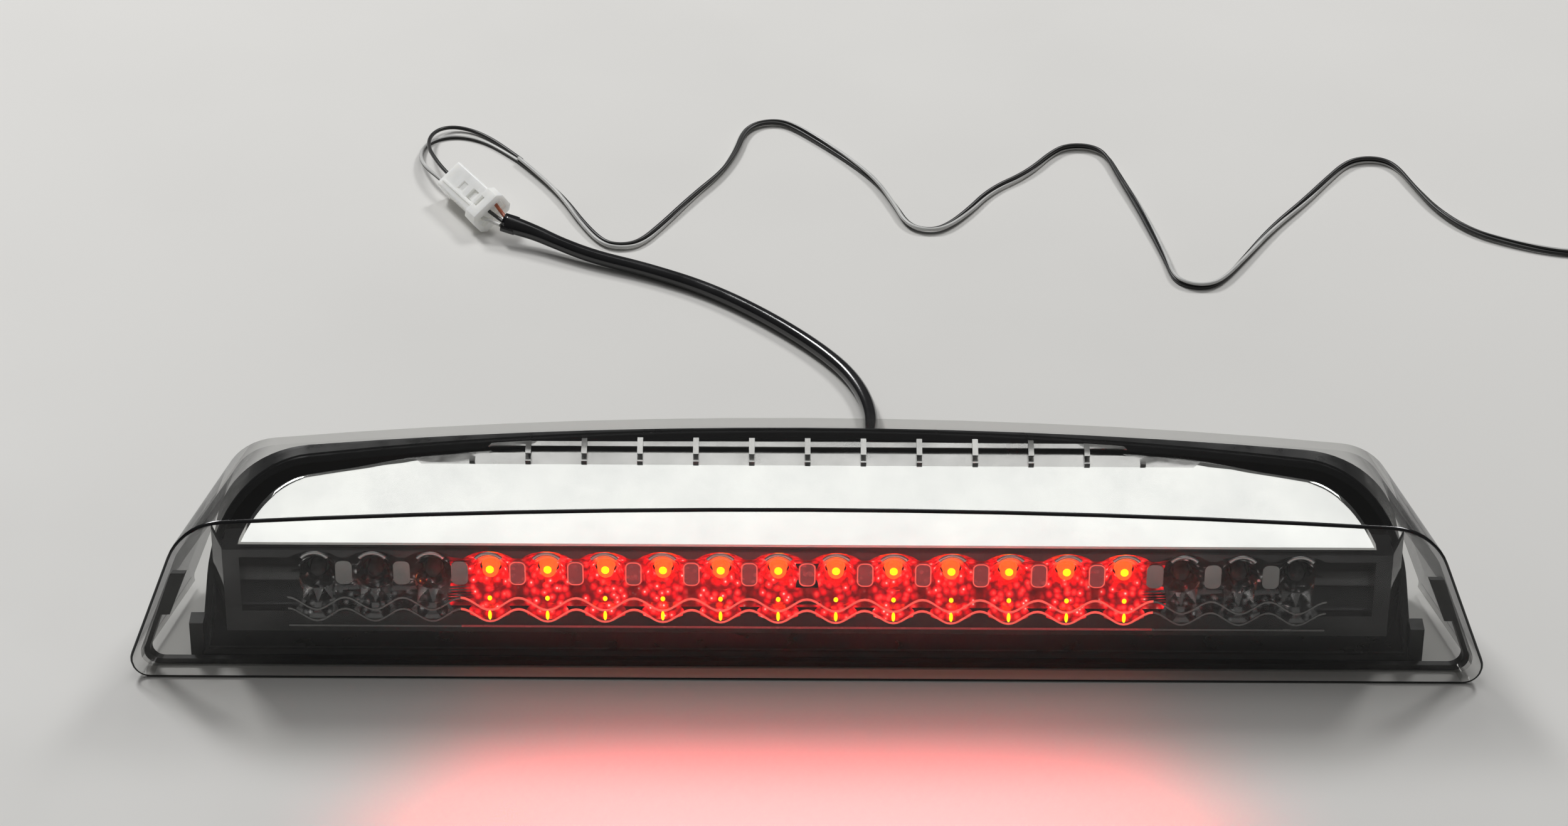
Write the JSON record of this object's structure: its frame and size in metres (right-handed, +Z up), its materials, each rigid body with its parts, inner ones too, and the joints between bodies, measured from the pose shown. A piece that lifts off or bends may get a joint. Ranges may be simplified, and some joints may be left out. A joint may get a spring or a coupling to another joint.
{
  "type": "third brake light",
  "caption": "Wide trapezoid high-mounted brake lamp with a clear lens, smoked cup bezel, bright ribbed reflector and a sheathed cable with a connector and a twin lead.",
  "frame": {"origin": "under the middle of the lamp's own box, on the surface it stands on", "axes": "+X along the lamp's width, -Y out of the lens, +Z up"},
  "size_m": [0.5232, 0.3544, 0.0627],
  "materials": {
    "clear_lens": "clear moulded plastic, faint smoke tint, polished",
    "housing_black": "black moulded plastic",
    "sealant_black": "glossy black sealant",
    "seal_rubber": "black rubber strip",
    "smoked_chrome": "dark smoked vacuum metallising, polished",
    "bright_chrome": "bright vacuum metallising, polished",
    "board_green": "solder mask",
    "led_red": "red domed lamp, lit",
    "led_clear": "clear domed lamp",
    "chip_black": "ceramic chip",
    "header_white": "nylon",
    "zinc_steel": "zinc plated",
    "wire_black": "wire insulation",
    "gasket_foam": "closed-cell foam",
    "sheath_black": "glossy black sleeve",
    "wire_orange": "wire insulation",
    "nylon_white": "natural nylon",
    "terminal_brass": "tinned brass",
    "wire_striped": "black with a pale stripe",
    "wire_twin": "two wires side by side",
    "tie_black": "nylon strap",
    "tinned_copper": "tinned strands"
  },
  "bodies": {
    "lamp": {"outer_lens": "clear_lens", "rear_housing": "housing_black", "lens_sealant_bead": "sealant_black", "wing_seal": "seal_rubber", "led_bezel": "smoked_chrome", "top_reflector": "bright_chrome", "circuit_board": "board_green", "brake_leds": "led_red", "end_leds": "led_clear", "resistors": "chip_black", "regulators": "chip_black", "board_header": "header_white", "board_screws": "zinc_steel", "inner_wires": "wire_black", "cable_grommet": "seal_rubber", "vent_cap": "seal_rubber", "rear_gasket": "gasket_foam", "mounting_studs": "zinc_steel", "harness_sheath": "sheath_black", "harness_wires": "wire_orange", "plug_housing": "nylon_white", "plug_terminals": "terminal_brass"},
    "lead": {"shroud_housing": "nylon_white", "shroud_terminals": "terminal_brass", "black_tail": "wire_black", "striped_tail": "wire_striped", "twin_lead": "wire_twin", "lead_coil": "wire_twin", "coil_tie": "tie_black", "stripped_ends": "tinned_copper"},
    "latch": {"latch_tongue": "nylon_white"}
  },
  "joints": [
    {"name": "shroud_slide", "type": "slide", "parent": "lamp", "child": "lead", "axis": [-0.515, 0.8572, 0], "range_m": [0, 0.014]},
    {"name": "latch_press", "type": "hinge", "parent": "lamp", "child": "latch", "pos_m": [-0.11446, 0.24502, 0.00843], "axis": [-0.7106, -0.427, -0.5592], "range_deg": [0, 4], "stiffness_Nm_per_rad": 0.02}
  ]
}
